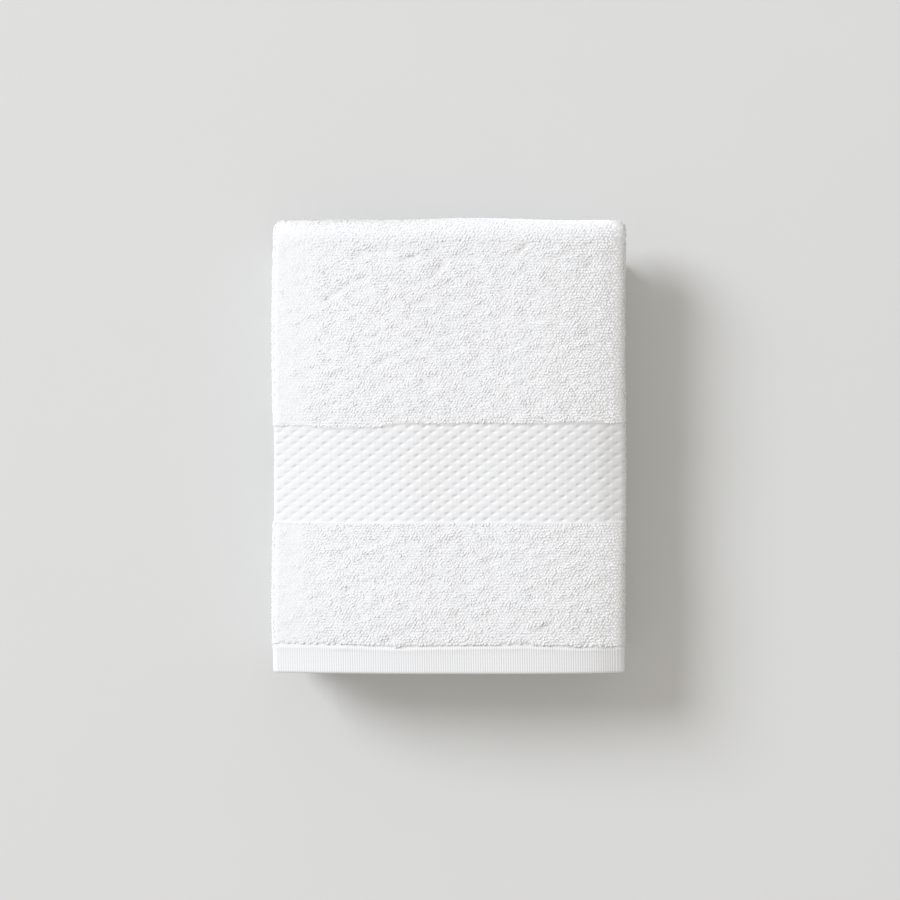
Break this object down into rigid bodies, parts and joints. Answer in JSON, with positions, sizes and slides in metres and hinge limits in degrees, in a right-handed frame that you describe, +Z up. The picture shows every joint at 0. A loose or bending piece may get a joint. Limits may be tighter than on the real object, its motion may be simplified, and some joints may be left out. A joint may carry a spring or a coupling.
{
  "type": "folded hand towel",
  "caption": "White terry hand towel folded in thirds across and in quarters along its length, with a flat woven border and a turned hem showing on top.",
  "frame": {"origin": "middle of the footprint, on the surface that the folded towel rests on", "axes": "+Z up, +Y from the hemmed front edge to the folded back edge, +X to the right seen from the hemmed edge"},
  "size_m": [0.1544, 0.196, 0.0437],
  "materials": {
    "white_terry": "matt cotton loops with a flat dobby band and a plain ribbed hem"
  },
  "bodies": {
    "root": {"towel": "white_terry"}
  },
  "joints": []
}
